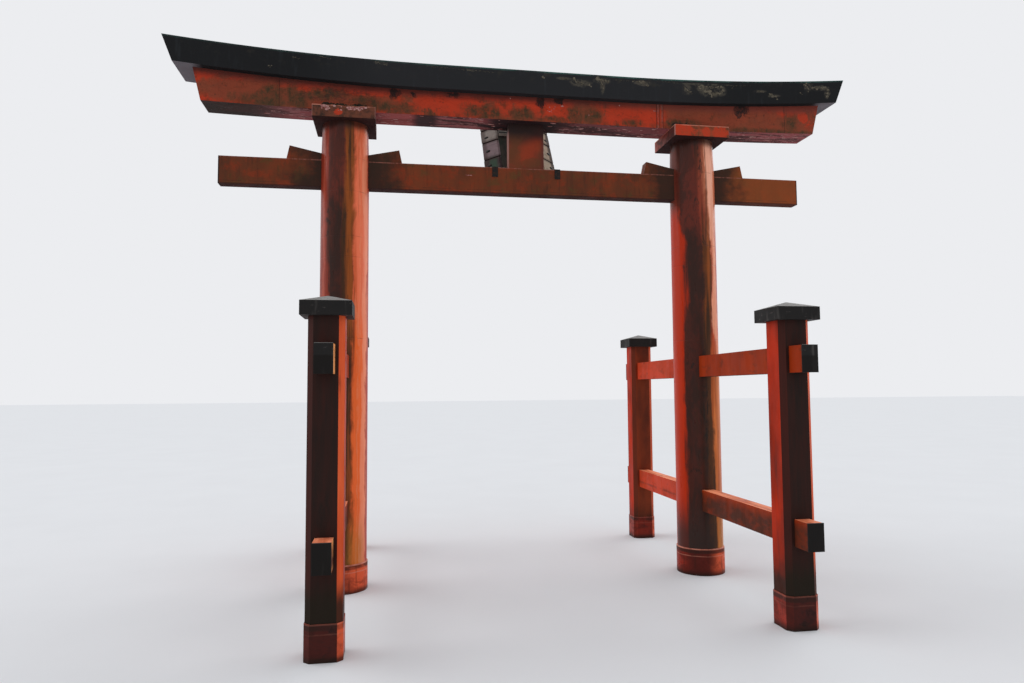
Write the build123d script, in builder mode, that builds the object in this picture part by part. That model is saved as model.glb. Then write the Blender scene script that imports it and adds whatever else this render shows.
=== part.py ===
# Four-legged torii gate standing in water: two round main pillars under a double lintel, each pillar
# braced by a square post in front of it and one behind it, with ties through all three.
# X runs along the lintels, Y through the gateway, Z up. The origin lies midway between the six feet.
import os
from math import atan2, cos, degrees, radians, sin, sqrt, tan

from build123d import *

os.makedirs("parts", exist_ok=True)

# Plan
PILLAR_SPACING = 6180
POST_OFFSET = 3060

# Round main pillars
PILLAR_RADIUS = 395
PILLAR_TOP_RADIUS = 376
PILLAR_NECK_LENGTH = 600
PILLAR_HEIGHT = 7640
PILLAR_SLEEVE_HEIGHT = 450
PILLAR_SLEEVE_THICKNESS = 16
PILLAR_SLEEVE_EDGE = 12

# Square plates between the pillars and the lower lintel
PLATE_WIDTH = 1010
PLATE_THICKNESS = 195
PLATE_EDGE = 8

# Straight tie beam through both pillars, held by a wedge on each side of each pillar
BEAM_HALF_LENGTH = 5110
BEAM_DROP = 597
BEAM_HEIGHT = 460
BEAM_THICKNESS = 200
BEAM_EDGE = 6
WEDGE_SLOPE = 12
WEDGE_REACH = 945
WEDGE_HEAD_HEIGHT = 222
WEDGE_TIP_GAP = 12

# Lower lintel, level over the pillars and rising towards its raked ends
LOWER_LINTEL_DEPTH = 540
LOWER_LINTEL_HEIGHT = 425
LOWER_LINTEL_LEVEL_HALF = 2600
LOWER_LINTEL_RISE = 47
LOWER_LINTEL_HALF_FOOT = 5360
LOWER_LINTEL_HALF_HEAD = 5490

# Upper lintel, a ridged roof beam that rides on the lower lintel
ROOF_DEPTH = 800
ROOF_FACE_HEIGHT = 413
ROOF_RIDGE_RISE = 105
ROOF_LEVEL_HALF = 1600
ROOF_RISE = 190
ROOF_HALF_FOOT = 5770
ROOF_END_RAKE = 21
ROOF_END_SPARE = 500

# Centre strut between the tie beam and the lower lintel
STRUT_WIDTH = 620
STRUT_THICKNESS = 200
STRUT_EDGE = 6

# Name plaque, hung on the far side and leaning out at its top
PLAQUE_LEAN = 35
PLAQUE_BOARD_WIDTH = 730
PLAQUE_BOARD_HEIGHT = 1300
PLAQUE_BOARD_THICKNESS = 35
PLAQUE_BORDER_SPLAY = 247
PLAQUE_BORDER_DEPTH = 190
PLAQUE_BORDER_THICKNESS = 38
PLAQUE_SEAT_GAP = 25
BATTEN_THICKNESS = 50
UPPER_BATTEN_HEIGHT = 90
UPPER_BATTEN_INSET = 8
UPPER_BATTEN_DROP = 240
LOWER_BATTEN_HEIGHT = 55
LOWER_BATTEN_OVERRUN = 3
BRACKET_SPACING = 1104
BRACKET_WIDTH = 100
BRACKET_THICKNESS = 10
BRACKET_FRONT_LEG = 165
BRACKET_BACK_LEG = 55
STAY_SPACING = 360
STAY_WIDTH = 40
STAY_THICKNESS = 10
STAY_LEG = 90

# Square posts with chamfered corners, their sleeves and caps
POST_WIDTH = 445
POST_CHAMFER = 70
POST_SHOULDER_Z = 4117
POST_SLEEVE_HEIGHT = 450
POST_SLEEVE_THICKNESS = 9
CAP_WIDTH = 624
CAP_FACE_HEIGHT = 177
CAP_PEAK_RISE = 88
CAP_PEAK_FLAT = 20
CAP_SOCKET_DEPTH = 60

# Side ties through front post, pillar and back post, with a plate on each end
TIE_WIDTH = 218
TIE_HEIGHT = 360
UPPER_TIE_DROP = 355
LOWER_TIE_BOTTOM_Z = 1095
TIE_OVERHANG = 307
END_PLATE_THICKNESS = 24
END_PLATE_LIP = 3
END_PLATE_EDGE = 4

# Play at each side of a piece in the hole that it passes through
FIT = 0.4

# How far a cutting shape runs past the piece that it cuts
CUT_SPARE = 5

pillar_x = PILLAR_SPACING / 2
beam_top_z = PILLAR_HEIGHT - BEAM_DROP
beam_bottom_z = beam_top_z - BEAM_HEIGHT
plate_top_z = PILLAR_HEIGHT + PLATE_THICKNESS
roof_bottom_z = plate_top_z + LOWER_LINTEL_HEIGHT
tie_half_length = POST_OFFSET + POST_WIDTH / 2 + TIE_OVERHANG
tie_bottoms = {"upper": POST_SHOULDER_Z - UPPER_TIE_DROP - TIE_HEIGHT, "lower": LOWER_TIE_BOTTOM_Z}
sides = {"left": -1, "right": 1}
ends = {"front": -1, "back": 1}


def save(builder, label):
    """Label a finished piece and write its file."""
    builder.part.label = label
    export_step(builder.part, f"parts/{label}.step")


def rise_at(x, level_half, foot, rise):
    """Height gained at x by a line that is level to level_half and then climbs an arc to rise at foot."""
    radius = ((foot - level_half) ** 2 + rise**2) / (2 * rise)
    run = max(abs(x) - level_half, 0)
    return radius - sqrt(radius**2 - run**2)


def cut_slot(x, y, bottom_z, size_x, size_y, height):
    """Cut an upright rectangular hole, centred on x and y, from bottom_z up."""
    with BuildSketch(Plane((x, y, bottom_z))) as slot:
        Rectangle(size_x, size_y)
    extrude(slot.sketch, amount=height, mode=Mode.SUBTRACT)


def chamfered_square(x, y, z, width, leg):
    """Square outline with its four corners cut off, centred on x and y at height z."""
    with BuildSketch(Plane((x, y, z))) as outline:
        square = Rectangle(width, width)
        chamfer(square.vertices(), leg)
    return outline.sketch


def wedge_outline(x, direction):
    """Side view of a wedge at a pillar's axis x: its top climbs away from the pillar to a square-cut head."""
    slope = tan(radians(WEDGE_SLOPE))
    head_top = WEDGE_REACH - WEDGE_HEAD_HEIGHT * slope
    tip_height = WEDGE_HEAD_HEIGHT - (head_top - WEDGE_TIP_GAP) * slope
    return [
        (x + direction * WEDGE_TIP_GAP, beam_top_z),
        (x + direction * WEDGE_REACH, beam_top_z),
        (x + direction * head_top, beam_top_z + WEDGE_HEAD_HEIGHT),
        (x + direction * WEDGE_TIP_GAP, beam_top_z + tip_height),
    ]


# Main pillars: turned shafts with holes for the beam, its wedges and the side ties
pillar_reach = 2 * (PILLAR_RADIUS + CUT_SPARE)
for side, sign in sides.items():
    axis_x = sign * pillar_x
    with BuildPart() as pillar:
        with BuildSketch(Plane((axis_x, 0, 0), x_dir=(1, 0, 0), z_dir=(0, -1, 0))):
            with BuildLine():
                Polyline(
                    (0, 0),
                    (PILLAR_RADIUS, 0),
                    (PILLAR_RADIUS, PILLAR_HEIGHT - PILLAR_NECK_LENGTH),
                    (PILLAR_TOP_RADIUS, PILLAR_HEIGHT),
                    (0, PILLAR_HEIGHT),
                    close=True,
                )
            make_face()
        revolve(axis=Axis((axis_x, 0, 0), (0, 0, 1)))
        cut_slot(axis_x, 0, beam_bottom_z, pillar_reach, BEAM_THICKNESS + 2 * FIT, BEAM_HEIGHT)
        for bottom_z in tie_bottoms.values():
            cut_slot(axis_x, 0, bottom_z, TIE_WIDTH + 2 * FIT, pillar_reach, TIE_HEIGHT)
        for direction in (-1, 1):
            with BuildSketch(Plane.XZ):
                with BuildLine():
                    Polyline(*wedge_outline(axis_x, direction), close=True)
                make_face()
            extrude(amount=BEAM_THICKNESS / 2 + FIT, both=True, mode=Mode.SUBTRACT)
    save(pillar, f"{side}_main_pillar")

    with BuildPart() as pillar_sleeve:
        with BuildSketch(Plane((axis_x, 0, 0))):
            Circle(PILLAR_RADIUS + FIT + PILLAR_SLEEVE_THICKNESS)
            Circle(PILLAR_RADIUS + FIT, mode=Mode.SUBTRACT)
        extrude(amount=PILLAR_SLEEVE_HEIGHT)
        top_rims = pillar_sleeve.edges().group_by(Axis.Z)[-1]
        chamfer(top_rims.sort_by(SortBy.RADIUS)[-1], PILLAR_SLEEVE_EDGE)
    save(pillar_sleeve, f"{side}_pillar_sleeve")

    with BuildPart() as plate:
        with BuildSketch(Plane((axis_x, 0, PILLAR_HEIGHT))):
            Rectangle(PLATE_WIDTH, PLATE_WIDTH)
        extrude(amount=PLATE_THICKNESS)
        chamfer(plate.edges().filter_by(Axis.Z), PLATE_EDGE)
    save(plate, f"{side}_pillar_plate")

# Tie beam
with BuildPart() as tie_beam:
    with BuildSketch(Plane.XY.offset(beam_bottom_z)):
        Rectangle(2 * BEAM_HALF_LENGTH, BEAM_THICKNESS)
    extrude(amount=BEAM_HEIGHT)
    end_faces = tie_beam.faces().filter_by(Axis.X)
    chamfer(end_faces.edges(), BEAM_EDGE)
save(tie_beam, "tie_beam")

# Wedges: the inner one of each pair points to the middle of the gate
for side, sign in sides.items():
    for place, direction in {"outer": sign, "inner": -sign}.items():
        with BuildPart() as wedge:
            with BuildSketch(Plane.XZ):
                with BuildLine():
                    Polyline(*wedge_outline(sign * pillar_x, direction), close=True)
                make_face()
            extrude(amount=BEAM_THICKNESS / 2, both=True)
        save(wedge, f"{side}_{place}_wedge")

# Lower lintel: its head follows the underside of the roof beam
head_gain = rise_at(LOWER_LINTEL_HALF_HEAD, ROOF_LEVEL_HALF, ROOF_HALF_FOOT, ROOF_RISE)
with BuildPart() as lower_lintel:
    with BuildSketch(Plane.XZ):
        with BuildLine():
            level = Line((0, plate_top_z), (LOWER_LINTEL_LEVEL_HALF, plate_top_z))
            foot_end = (LOWER_LINTEL_HALF_FOOT, plate_top_z + LOWER_LINTEL_RISE)
            foot_arc = TangentArc(level @ 1, foot_end, tangent=(1, 0))
            head_level = Line((0, roof_bottom_z), (ROOF_LEVEL_HALF, roof_bottom_z))
            head_end = (LOWER_LINTEL_HALF_HEAD, roof_bottom_z + head_gain)
            head_arc = TangentArc(head_level @ 1, head_end, tangent=(1, 0))
            Line(foot_arc @ 1, head_arc @ 1)
            mirror(about=Plane.YZ)
        make_face()
    extrude(amount=LOWER_LINTEL_DEPTH / 2, both=True)
save(lower_lintel, "lower_lintel")

# Upper lintel: a ridged section swept along the rising line, then cut to its raked ends
spare_x = ROOF_HALF_FOOT + ROOF_END_SPARE
spare_gain = rise_at(spare_x, ROOF_LEVEL_HALF, ROOF_HALF_FOOT, ROOF_RISE)
rake = radians(ROOF_END_RAKE)
with BuildPart() as upper_lintel:
    with BuildLine(Plane.XZ) as roof_line:
        level = Line((-ROOF_LEVEL_HALF, roof_bottom_z), (ROOF_LEVEL_HALF, roof_bottom_z))
        climb = TangentArc(level @ 1, (spare_x, roof_bottom_z + spare_gain), tangent=(1, 0))
        TangentArc(level @ 0, (-spare_x, roof_bottom_z + spare_gain), tangent=(-1, 0))
    tip = climb @ 1
    along = climb % 1
    with BuildSketch(Plane(tip, x_dir=(0, 1, 0), z_dir=along)):
        with BuildLine():
            half = ROOF_DEPTH / 2
            Polyline(
                (-half, 0),
                (half, 0),
                (half, ROOF_FACE_HEIGHT),
                (0, ROOF_FACE_HEIGHT + ROOF_RIDGE_RISE),
                (-half, ROOF_FACE_HEIGHT),
                close=True,
            )
        make_face()
    sweep(path=roof_line.line)
    for sign in sides.values():
        cut_at = (sign * ROOF_HALF_FOOT, 0, roof_bottom_z + ROOF_RISE)
        outward = (sign * cos(rake), 0, -sin(rake))
        split(bisect_by=Plane(cut_at, z_dir=outward), keep=Keep.BOTTOM)
save(upper_lintel, "upper_lintel")

# Centre strut
with BuildPart() as centre_strut:
    with BuildSketch(Plane.XY.offset(beam_top_z)):
        Rectangle(STRUT_WIDTH, STRUT_THICKNESS)
    extrude(amount=plate_top_z - beam_top_z)
    chamfer(centre_strut.edges().filter_by(Axis.Z), STRUT_EDGE)
save(centre_strut, "centre_strut")

# Name plaque: a board in a deep splayed border. Its plane faces away from the gate, and its lower edge
# line, at the board's back, is where it stands on the brackets.
lean = radians(PLAQUE_LEAN)
seat_y = BEAM_THICKNESS / 2 + PLAQUE_SEAT_GAP + BATTEN_THICKNESS * cos(lean)
seat_z = beam_top_z + BRACKET_THICKNESS
plaque_foot = Plane((0, seat_y, seat_z), x_dir=(-1, 0, 0), z_dir=(0, cos(lean), -sin(lean)))


def plaque_point(up, outward):
    """The Y and Z of a point on the plaque: up its slope from the foot, and out from the board's back."""
    return (
        seat_y + up * sin(lean) + outward * cos(lean),
        seat_z + up * cos(lean) - outward * sin(lean),
    )


with BuildPart() as plaque_board:
    with BuildSketch(plaque_foot):
        with Locations((0, PLAQUE_BOARD_HEIGHT / 2)):
            Rectangle(PLAQUE_BOARD_WIDTH, PLAQUE_BOARD_HEIGHT)
    extrude(amount=PLAQUE_BOARD_THICKNESS)
save(plaque_board, "plaque_board")


def plaque_rectangle(outward, margin):
    """The board's outline grown by a margin, in a plane at some distance out from the board's back."""
    with BuildSketch(plaque_foot.offset(outward)) as outline:
        with Locations((0, PLAQUE_BOARD_HEIGHT / 2)):
            Rectangle(PLAQUE_BOARD_WIDTH + 2 * margin, PLAQUE_BOARD_HEIGHT + 2 * margin)
    return outline.sketch


# The border is a splayed frame that holds the board in a straight rebate
rebate_growth = PLAQUE_BORDER_SPLAY * PLAQUE_BOARD_THICKNESS / PLAQUE_BORDER_DEPTH
with BuildPart() as plaque_frame:
    back_outline = plaque_rectangle(0, PLAQUE_BORDER_THICKNESS)
    rim_outline = plaque_rectangle(PLAQUE_BORDER_DEPTH, PLAQUE_BORDER_THICKNESS + PLAQUE_BORDER_SPLAY)
    loft([back_outline, rim_outline], ruled=True)
    throat = plaque_rectangle(PLAQUE_BOARD_THICKNESS, rebate_growth)
    mouth = plaque_rectangle(PLAQUE_BORDER_DEPTH, PLAQUE_BORDER_SPLAY)
    loft([throat, mouth], ruled=True, mode=Mode.SUBTRACT)
    extrude(plaque_rectangle(0, 0), amount=PLAQUE_BOARD_THICKNESS, mode=Mode.SUBTRACT)
save(plaque_frame, "plaque_frame")

# Battens behind the board: the lower one runs past the board to stand on the brackets
upper_batten_foot = PLAQUE_BOARD_HEIGHT - UPPER_BATTEN_DROP
upper_batten_length = PLAQUE_BOARD_WIDTH - 2 * UPPER_BATTEN_INSET
lower_batten_length = BRACKET_SPACING + BRACKET_WIDTH + 2 * LOWER_BATTEN_OVERRUN
battens = {
    "upper": (upper_batten_foot, upper_batten_length, UPPER_BATTEN_HEIGHT),
    "lower": (0, lower_batten_length, LOWER_BATTEN_HEIGHT),
}
for place, (batten_foot, batten_length, batten_height) in battens.items():
    with BuildPart() as batten:
        with BuildSketch(plaque_foot):
            with Locations((0, batten_foot + batten_height / 2)):
                Rectangle(batten_length, batten_height)
        extrude(amount=-BATTEN_THICKNESS)
    save(batten, f"plaque_{place}_batten")

# Iron brackets: each strap hooks over the front of the tie beam, runs back over it and turns up the
# slope behind the lower batten
front_y = -BEAM_THICKNESS / 2
leg_foot_y = seat_y - BATTEN_THICKNESS / cos(lean)
leg_run_y = BRACKET_BACK_LEG * sin(lean)
leg_run_z = BRACKET_BACK_LEG * cos(lean)
for side, sign in sides.items():
    with BuildPart() as bracket:
        with BuildSketch(Plane((sign * BRACKET_SPACING / 2, 0, 0), x_dir=(0, 1, 0), z_dir=(1, 0, 0))):
            with BuildLine():
                Polyline(
                    (front_y, beam_top_z),
                    (front_y, beam_top_z - BRACKET_FRONT_LEG),
                    (front_y - BRACKET_THICKNESS, beam_top_z - BRACKET_FRONT_LEG),
                    (front_y - BRACKET_THICKNESS, seat_z),
                    (leg_foot_y - BRACKET_THICKNESS / cos(lean), seat_z),
                    (leg_foot_y + leg_run_y - BRACKET_THICKNESS / cos(lean), seat_z + leg_run_z),
                    (leg_foot_y + leg_run_y, seat_z + leg_run_z),
                    (leg_foot_y, seat_z),
                    (seat_y, seat_z),
                    (seat_y, beam_top_z),
                    close=True,
                )
            make_face()
        extrude(amount=BRACKET_WIDTH / 2, both=True)
    save(bracket, f"plaque_{side}_bracket")

# Iron stays from the back of the lower lintel to the plaque's upper batten
lintel_back_y = LOWER_LINTEL_DEPTH / 2
stay_y, stay_z = plaque_point(upper_batten_foot + UPPER_BATTEN_HEIGHT / 2, -BATTEN_THICKNESS)
with BuildPart() as plaque_stays:
    for sign in sides.values():
        with BuildSketch(Plane((sign * STAY_SPACING / 2, 0, 0), x_dir=(0, 1, 0), z_dir=(1, 0, 0))):
            with BuildLine():
                Polyline(
                    (lintel_back_y, stay_z),
                    (lintel_back_y, stay_z + STAY_LEG),
                    (lintel_back_y + STAY_THICKNESS, stay_z + STAY_LEG),
                    (lintel_back_y + STAY_THICKNESS, stay_z + STAY_THICKNESS),
                    (stay_y + STAY_THICKNESS * tan(lean), stay_z + STAY_THICKNESS),
                    (stay_y, stay_z),
                    close=True,
                )
            make_face()
        extrude(amount=STAY_WIDTH / 2, both=True)
save(plaque_stays, "plaque_stays")

# Posts, their sleeves and caps
post_reach = POST_WIDTH + 2 * CUT_SPARE
cap_slope = degrees(atan2((CAP_WIDTH - CAP_PEAK_FLAT) / 2, CAP_PEAK_RISE))
for end, toward in ends.items():
    for side, sign in sides.items():
        at_x = sign * pillar_x
        at_y = toward * POST_OFFSET
        with BuildPart() as post:
            shaft_outline = chamfered_square(at_x, at_y, 0, POST_WIDTH, POST_CHAMFER)
            extrude(shaft_outline, amount=POST_SHOULDER_Z + CAP_SOCKET_DEPTH)
            for bottom_z in tie_bottoms.values():
                cut_slot(at_x, at_y, bottom_z, TIE_WIDTH + 2 * FIT, post_reach, TIE_HEIGHT)
        save(post, f"{end}_{side}_post")

        with BuildPart() as post_sleeve:
            outer_width = POST_WIDTH + 2 * (FIT + POST_SLEEVE_THICKNESS)
            extrude(chamfered_square(at_x, at_y, 0, outer_width, POST_CHAMFER), amount=POST_SLEEVE_HEIGHT)
            inner = chamfered_square(at_x, at_y, 0, POST_WIDTH + 2 * FIT, POST_CHAMFER)
            extrude(inner, amount=POST_SLEEVE_HEIGHT, mode=Mode.SUBTRACT)
        save(post_sleeve, f"{end}_{side}_post_sleeve")

        with BuildPart() as post_cap:
            with BuildSketch(Plane((at_x, at_y, POST_SHOULDER_Z))):
                Rectangle(CAP_WIDTH, CAP_WIDTH)
            extrude(amount=CAP_FACE_HEIGHT)
            with BuildSketch(Plane((at_x, at_y, POST_SHOULDER_Z + CAP_FACE_HEIGHT))):
                Rectangle(CAP_WIDTH, CAP_WIDTH)
            extrude(amount=CAP_PEAK_RISE, taper=cap_slope)
            socket = chamfered_square(at_x, at_y, POST_SHOULDER_Z, POST_WIDTH + 2 * FIT, POST_CHAMFER)
            extrude(socket, amount=CAP_SOCKET_DEPTH, mode=Mode.SUBTRACT)
        save(post_cap, f"{end}_{side}_post_cap")

# Side ties and the dark plates on their ends
for side, sign in sides.items():
    for level_name, bottom_z in tie_bottoms.items():
        with BuildPart() as side_tie:
            with BuildSketch(Plane((sign * pillar_x, 0, bottom_z))):
                Rectangle(TIE_WIDTH, 2 * tie_half_length)
            extrude(amount=TIE_HEIGHT)
        save(side_tie, f"{side}_{level_name}_side_tie")

        for end, toward in ends.items():
            plate_plane = Plane(
                (sign * pillar_x, toward * tie_half_length, bottom_z + TIE_HEIGHT / 2),
                x_dir=(1, 0, 0),
                z_dir=(0, toward, 0),
            )
            with BuildPart() as end_plate:
                with BuildSketch(plate_plane):
                    Rectangle(TIE_WIDTH + 2 * END_PLATE_LIP, TIE_HEIGHT + 2 * END_PLATE_LIP)
                extrude(amount=END_PLATE_THICKNESS)
                outer_face = end_plate.faces().sort_by(Axis.Y)[0 if toward < 0 else -1]
                chamfer(outer_face.edges(), END_PLATE_EDGE)
            save(end_plate, f"{end}_{side}_{level_name}_tie_plate")
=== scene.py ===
"""Looks of a vermilion torii gate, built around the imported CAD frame. Metres, Z up, X along the lintels."""
import math
import random

import bmesh
import bpy
from mathutils import Matrix, Vector


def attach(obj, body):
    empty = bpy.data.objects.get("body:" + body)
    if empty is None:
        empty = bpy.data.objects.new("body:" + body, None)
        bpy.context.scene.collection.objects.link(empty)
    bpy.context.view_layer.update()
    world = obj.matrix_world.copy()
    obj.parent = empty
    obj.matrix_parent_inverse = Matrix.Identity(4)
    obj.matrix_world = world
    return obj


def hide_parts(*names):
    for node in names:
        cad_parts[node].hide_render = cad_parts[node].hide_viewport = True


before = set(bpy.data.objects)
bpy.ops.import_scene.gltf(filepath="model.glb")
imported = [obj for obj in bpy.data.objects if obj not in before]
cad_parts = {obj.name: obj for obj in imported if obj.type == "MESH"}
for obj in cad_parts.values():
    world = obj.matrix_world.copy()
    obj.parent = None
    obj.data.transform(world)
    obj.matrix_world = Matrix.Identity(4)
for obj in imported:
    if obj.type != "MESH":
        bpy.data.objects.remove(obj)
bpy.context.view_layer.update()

# Camera at the photograph's place: position, view direction, and the direction of the picture's right side
CAMERA_PLACE = Vector((-2.3026, -12.3017, 3.2))
CAMERA_FORWARD = Vector((0.16354899, 0.98430442, 0.06630645))
CAMERA_RIGHT = Vector((0.98652644, -0.16346118, -0.00678419))
CAMERA_LENS = 25.475

# Plan and heights of the gate, as the CAD has them
PILLAR_X = 3.09
SLEEVE_TOP = 0.45
BEAM_TOP = 7.043
BEAM_FOOT = 6.583
BEAM_HALF = 5.11
LINTEL_FOOT = 7.835
LINTEL_HALF_DEPTH = 0.27
LINTEL_LEVEL = 2.6
LINTEL_CURVE = 0.047 / 2.76**2
PLATE_HALF = 0.505
ROOF_FOOT = 8.26
ROOF_FACE = 0.413
ROOF_HALF_DEPTH = 0.4
ROOF_LEVEL = 1.6
ROOF_CURVE = 0.19 / 4.17**2
ROOF_RIDGE = 0.105
ROOF_SLOPE = ROOF_RIDGE / ROOF_HALF_DEPTH

# The plaque's frame of reference: its lean, and the foot of its board's back
LEAN = math.radians(35)
SEAT_Y = 0.125 + 0.05 * math.cos(LEAN)
SEAT_Z = BEAM_TOP + 0.010
UPPER_BATTEN_MIDDLE = 1.102
BOARD_HALF = 0.365
BOARD_RISE = 1.3
BORDER_DEPTH = 0.19
BORDER_SPLAY = 0.247
BORDER_THICKNESS = 0.038

# Joints between the border's boards: where they meet the outer rim, up the slope, and how they drop outwards
JOINT_RISES = (0.03, 0.54, 1.04, 1.42)
JOINT_NORMAL = Vector((0, 0.17, 1)).normalized()
JOINT_GAP = 0.032

# Directions, in plan: where the faces with painted shade and dirt look, and where the faces with a painted
# highlight look
SHADE_AND_DIRT_SIDE = (-0.309, -0.951)
HIGHLIGHT_SIDE = (0.766, -0.643)

# Marks on the paint: heights of the pillars' fine cracks, heights of the ties' lower edges,
# and the lintel's joints as x and half width
PILLAR_SEAMS = (7.03, 6.47, 5.72, 5.38, 4.05)
TIE_FEET = (1.21, 3.27)
LINTEL_SEAMS = ((2.34, 0.006), (2.39, 0.003), (2.46, 0.003), (4.8, 0.003), (-4.137, 0.003))

# Patches, each as x, height, half width and half height (above the roof's foot for ROOF_STAINS)
STRUT_MOSS = ((-0.2, 7.34, 0.13, 0.26), (0.12, 7.16, 0.2, 0.06))
LINTEL_DULL = (
    (-4.7, 8.08, 0.8, 0.2), (-4.0, 8.0, 0.6, 0.2), (-3.07, 8.06, 0.9, 0.19), (3.6, 8.1, 1.22, 0.3),
    (4.7, 8.0, 0.5, 0.2),
)
LINTEL_CLEAN = (
    (-3.6, 8.2, 0.4, 0.09), (-2.8, 8.2, 0.45, 0.1), (-1.49, 8.06, 0.46, 0.24), (-0.42, 8.06, 0.16, 0.2),
    (0.02, 8.08, 0.22, 0.15), (1.8, 8.08, 0.54, 0.22), (5.17, 8.19, 0.1, 0.1),
)
LINTEL_MOSS = (
    (-4.16, 8.0, 0.08, 0.22), (-3.93, 8.08, 0.09, 0.17), (-4.42, 7.94, 0.42, 0.12), (-3.79, 7.98, 0.11, 0.16),
    (-4.3, 8.08, 0.12, 0.1), (-2.75, 8.0, 0.2, 0.1), (-3.45, 8.1, 0.2, 0.08), (-2.19, 7.94, 0.27, 0.09),
    (-0.8, 7.95, 0.34, 0.12), (-0.11, 7.95, 0.19, 0.09), (0.82, 7.98, 0.15, 0.14), (1.19, 7.98, 0.17, 0.12),
    (1.91, 7.91, 0.15, 0.06), (4.93, 8.06, 0.11, 0.18), (4.5, 7.88, 0.7, 0.05), (-3.27, 8.12, 0.24, 0.07),
    (-3.65, 8.05, 0.06, 0.08), (2.82, 7.93, 0.3, 0.07), (0.5, 7.9, 0.2, 0.05),
)
LINTEL_SOOT = (
    (-2.26, 8.18, 0.08, 0.1), (-1.97, 8.19, 0.05, 0.05), (-1.31, 8.22, 0.1, 0.06), (0.24, 8.18, 0.08, 0.1),
    (0.55, 8.23, 0.09, 0.08), (3.96, 8.27, 0.14, 0.1), (3.9, 8.18, 0.07, 0.09), (2.79, 7.915, 0.17, 0.025),
)
PLATE_CLEAN = (
    (-3.18, 7.72, 0.06, 0.05), (2.76, 7.73, 0.2, 0.14), (3.16, 7.72, 0.06, 0.1), (3.45, 7.73, 0.14, 0.12),
)
ROOF_STAINS = (
    (3.3, 0.23, 0.26, 0.12), (3.53, 0.22, 0.09, 0.1), (0.92, 0.25, 0.2, 0.07), (1.3, 0.31, 0.15, 0.05),
    (1.31, 0.2, 0.05, 0.12), (2.05, 0.32, 0.18, 0.05), (2.87, 0.24, 0.09, 0.1), (4.27, 0.23, 0.12, 0.025),
    (4.54, 0.15, 0.13, 0.03), (5.22, 0.3, 0.08, 0.09), (5.46, 0.28, 0.2, 0.05), (5.6, 0.18, 0.06, 0.12),
    (0.62, 0.31, 0.14, 0.03), (-0.95, 0.345, 0.12, 0.02), (-2.5, 0.36, 0.12, 0.03), (3.15, 0.34, 0.5, 0.02),
)


def on_plaque(across, up, out):
    """A point on the plaque: across towards -X, up its slope, out from the board's back."""
    return Vector((
        -across,
        SEAT_Y + up * math.sin(LEAN) + out * math.cos(LEAN),
        SEAT_Z + up * math.cos(LEAN) - out * math.sin(LEAN),
    ))


def linear(red, green, blue):
    """A colour written as 0 to 255 screen values, as the linear values that shaders take."""
    def one(value):
        value /= 255
        return value / 12.92 if value <= 0.04045 else ((value + 0.055) / 1.055) ** 2.4
    return (one(red), one(green), one(blue), 1.0)


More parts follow.
